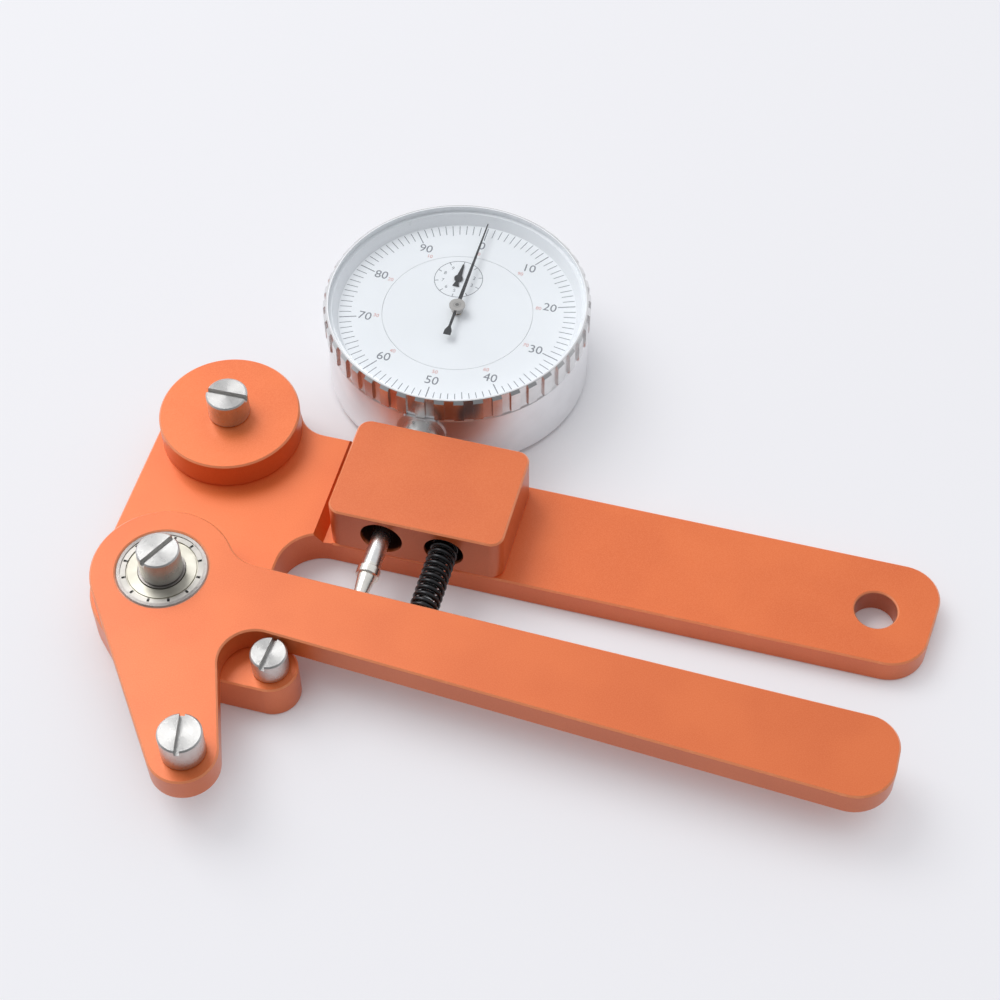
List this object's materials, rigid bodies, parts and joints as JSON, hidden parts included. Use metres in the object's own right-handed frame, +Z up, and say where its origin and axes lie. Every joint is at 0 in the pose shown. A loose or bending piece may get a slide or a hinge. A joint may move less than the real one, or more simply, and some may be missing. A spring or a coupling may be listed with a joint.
{
  "type": "spoke tension meter",
  "caption": "Handheld spoke tension meter: two orange anodised handles on a ball-bearing pivot, slotted contact posts, a coil spring and a dial indicator that reads the lever's travel.",
  "frame": {"origin": "on the lever's pivot axis, on the underside of the body plate, which is the surface it rests on", "axes": "+X runs along the body handle to its tip, +Y from the lever's handle towards the dial indicator, +Z up out of the plates along the pivot axis"},
  "size_m": [0.1691, 0.1587, 0.0223],
  "materials": {
    "orange_anodised": "satin orange anodised aluminium, bead blasted, with bright chamfers",
    "black_steel": "black oxide steel",
    "bright_steel": "turned steel, bright",
    "ground_steel": "ground bearing steel",
    "shield_steel": "pressed steel shield",
    "bronze_cage": "bronze cage",
    "black_wire": "black oxide spring wire",
    "spring_wire": "plain spring wire",
    "satin_case": "satin aluminium",
    "satin_bezel": "satin plated bezel with turned notches",
    "brass": "machined brass",
    "black_hand": "black lacquer",
    "clear_crystal": "clear polished crystal",
    "white_dial": "matt white dial enamel"
  },
  "bodies": {
    "body": {"body_plate": "orange_anodised", "indicator_block": "orange_anodised", "block_screws": "black_steel", "stem_clamp_screw": "black_steel", "anvil_disc": "orange_anodised", "disc_post": "bright_steel", "stop_post": "bright_steel", "pivot_post": "bright_steel", "pivot_washer": "bright_steel", "bearing_inner_ring": "ground_steel", "indicator_case": "satin_case", "back_cover": "satin_case", "back_cover_screws": "bright_steel", "indicator_stem": "ground_steel", "spindle_cap": "satin_case", "movement_plates": "brass", "movement_pillars": "brass", "bezel_snap_ring": "spring_wire", "dial_middle": "white_dial", "handle_spring": "black_wire", "return_spring": "spring_wire"},
    "lever": {"lever_plate": "orange_anodised", "lever_post": "bright_steel", "spring_peg": "bright_steel", "bearing_outer_ring": "ground_steel", "bearing_shields": "shield_steel"},
    "bearing_cage": {"bearing_cage": "bronze_cage", "bearing_balls": "ground_steel"},
    "spindle": {"spindle": "ground_steel", "contact_point": "bright_steel", "spindle_pin": "bright_steel"},
    "rack_arbor": {"rack_arbor": "brass", "counter_hand": "black_hand"},
    "centre_arbor": {"centre_arbor": "brass", "long_hand": "black_hand"},
    "take_up_arbor": {"take_up_arbor": "brass", "hairspring": "spring_wire"},
    "bezel": {"bezel": "satin_bezel", "crystal": "clear_crystal", "scale_ring": "white_dial"}
  },
  "joints": [
    {"name": "lever_pivot", "type": "hinge", "parent": "body", "child": "lever", "pos_m": [0, 0, 0], "axis": [0, 0, 1], "range_deg": [0, 12], "stiffness_Nm_per_rad": 1.2, "springref_deg": -14.32, "deforming": ["handle_spring"]},
    {"name": "bearing_cage_spin", "type": "hinge", "parent": "body", "child": "bearing_cage", "pos_m": [0, 0, 0], "axis": [0, 0, 1], "range_deg": [-1, 9]},
    {"name": "spindle_slide", "type": "slide", "parent": "body", "child": "spindle", "axis": [0, 1, 0], "range_m": [-0.0002, 0.01], "deforming": ["return_spring"]},
    {"name": "rack_arbor_spin", "type": "hinge", "parent": "body", "child": "rack_arbor", "pos_m": [0.0374, 0.0887, 0], "axis": [0, 0, 1], "range_deg": [-5, 360]},
    {"name": "take_up_spin", "type": "hinge", "parent": "body", "child": "take_up_arbor", "pos_m": [0.0422, 0.0699, 0], "axis": [0, 0, 1], "range_deg": [-5, 360]},
    {"name": "long_hand_spin", "type": "hinge", "parent": "body", "child": "centre_arbor", "pos_m": [0.0398, 0.0793, 0], "axis": [0, 0, 1], "range_deg": [-3600, 50]},
    {"name": "bezel_turn", "type": "hinge", "parent": "body", "child": "bezel", "pos_m": [0.0398, 0.0793, 0], "axis": [0, 0, 1], "continuous": true}
  ],
  "couplings": [
    {"joint": "spindle_slide", "follows": "lever_pivot", "m_per_rad": 0.0408},
    {"joint": "bearing_cage_spin", "follows": "lever_pivot", "ratio": 0.6404},
    {"joint": "rack_arbor_spin", "follows": "lever_pivot", "ratio": 25.64},
    {"joint": "take_up_spin", "follows": "lever_pivot", "ratio": 25.64},
    {"joint": "long_hand_spin", "follows": "lever_pivot", "ratio": -256.4}
  ]
}
